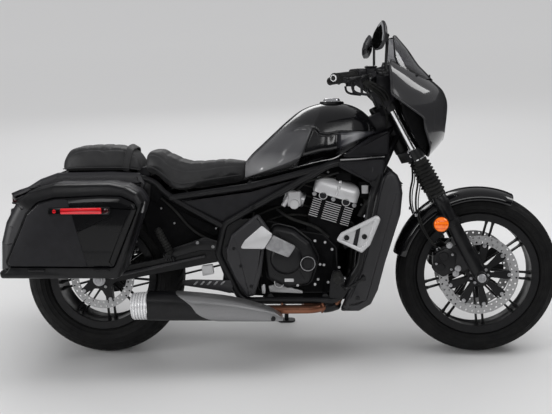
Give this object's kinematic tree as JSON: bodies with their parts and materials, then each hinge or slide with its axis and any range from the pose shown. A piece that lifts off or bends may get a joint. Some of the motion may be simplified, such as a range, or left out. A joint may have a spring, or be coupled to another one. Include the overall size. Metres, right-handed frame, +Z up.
{
  "type": "touring cruiser motorcycle",
  "caption": "Low touring cruiser motorcycle with a fork-mounted fairing, short smoked screen, twin-cylinder engine and hard side cases, parked on its side stand",
  "frame": {"origin": "centre of the bottom of the parked motorcycle, on the floor", "axes": "+X forwards along the motorcycle, +Y to the rider's left, the side it leans to, +Z up"},
  "size_m": [2.1839, 0.9428, 1.3358],
  "materials": {
    "tyre": "matt",
    "satin_black": "satin",
    "steel": "brushed",
    "chrome": "polished",
    "rubber": "matt",
    "black_plastic": "matt",
    "satin_grey": "satin",
    "lamp_glass": "gloss",
    "smoked_screen": "gloss",
    "gloss_black": "gloss",
    "orange_lens": "gloss",
    "cast_aluminium": "cast",
    "silver_paint": "satin",
    "bronze": "satin",
    "leather": "matt",
    "red_lens": "gloss"
  },
  "bodies": {
    "chassis": {"frame": "satin_black", "rear_subframe": "satin_black", "engine_case": "satin_black", "cylinder_block": "cast_aluminium", "head_cover": "silver_paint", "engine_covers": "satin_black", "header_pipes": "bronze", "muffler": "silver_paint", "radiator": "black_plastic", "radiator_shrouds": "satin_grey", "side_guards": "silver_paint", "pivot_covers": "black_plastic", "neck_panels": "black_plastic", "fuel_tank": "gloss_black", "tank_cap": "chrome", "rider_seat": "leather", "passenger_seat": "leather", "side_covers": "black_plastic", "rear_fender": "gloss_black", "tail_lamp": "red_lens", "plate_holder": "black_plastic", "swingarm": "satin_black", "rear_shocks": "satin_black", "drive_belt": "rubber", "rear_caliper": "satin_black", "rider_footrests": "satin_black", "passenger_pegs": "satin_black", "right_case": "satin_grey", "left_case": "satin_grey"},
    "steering": {"fork_tubes": "chrome", "fork_gaiters": "rubber", "fork_sliders": "satin_black", "front_calipers": "satin_black", "triple_clamps": "satin_black", "handlebar": "satin_black", "grips": "rubber", "hand_controls": "black_plastic", "mirrors": "black_plastic", "fairing": "satin_grey", "headlamp": "lamp_glass", "windscreen": "smoked_screen", "cockpit": "satin_black", "front_fender": "gloss_black", "front_signals": "orange_lens", "brake_hoses": "rubber"},
    "front_wheel": {"front_tyre": "tyre", "front_rim": "satin_black", "front_discs": "steel"},
    "rear_wheel": {"rear_tyre": "tyre", "rear_rim": "satin_black", "rear_disc": "steel", "rear_pulley": "satin_black"},
    "side_stand": {"side_stand": "satin_black"},
    "right_lid": {"right_lid": "gloss_black"},
    "left_lid": {"left_lid": "gloss_black"}
  },
  "joints": [
    {"name": "steering", "type": "hinge", "parent": "chassis", "child": "steering", "pos_m": [0.44544, -0.02921, 0.86203], "axis": [-0.4617, 0.1388, 0.8761], "range_deg": [-32, 32]},
    {"name": "front_wheel_spin", "type": "hinge", "parent": "steering", "child": "front_wheel", "pos_m": [0.772, -0.11549, 0.31729], "axis": [0, 0.9877, -0.1564], "continuous": true},
    {"name": "rear_wheel_spin", "type": "hinge", "parent": "chassis", "child": "rear_wheel", "pos_m": [-0.718, -0.11549, 0.31729], "axis": [0, 0.9877, -0.1564], "continuous": true},
    {"name": "side_stand_fold", "type": "hinge", "parent": "chassis", "child": "side_stand", "pos_m": [-0.078, 0.05482, 0.19717], "axis": [0, 0.9264, 0.3765], "range_deg": [0, 104]},
    {"name": "right_lid_hinge", "type": "hinge", "parent": "chassis", "child": "right_lid", "pos_m": [-0.718, -0.46644, 0.45387], "axis": [1, 0, 0], "range_deg": [0, 75]},
    {"name": "left_lid_hinge", "type": "hinge", "parent": "chassis", "child": "left_lid", "pos_m": [-0.718, 0.26049, 0.33874], "axis": [-1, 0, 0], "range_deg": [0, 75]}
  ]
}
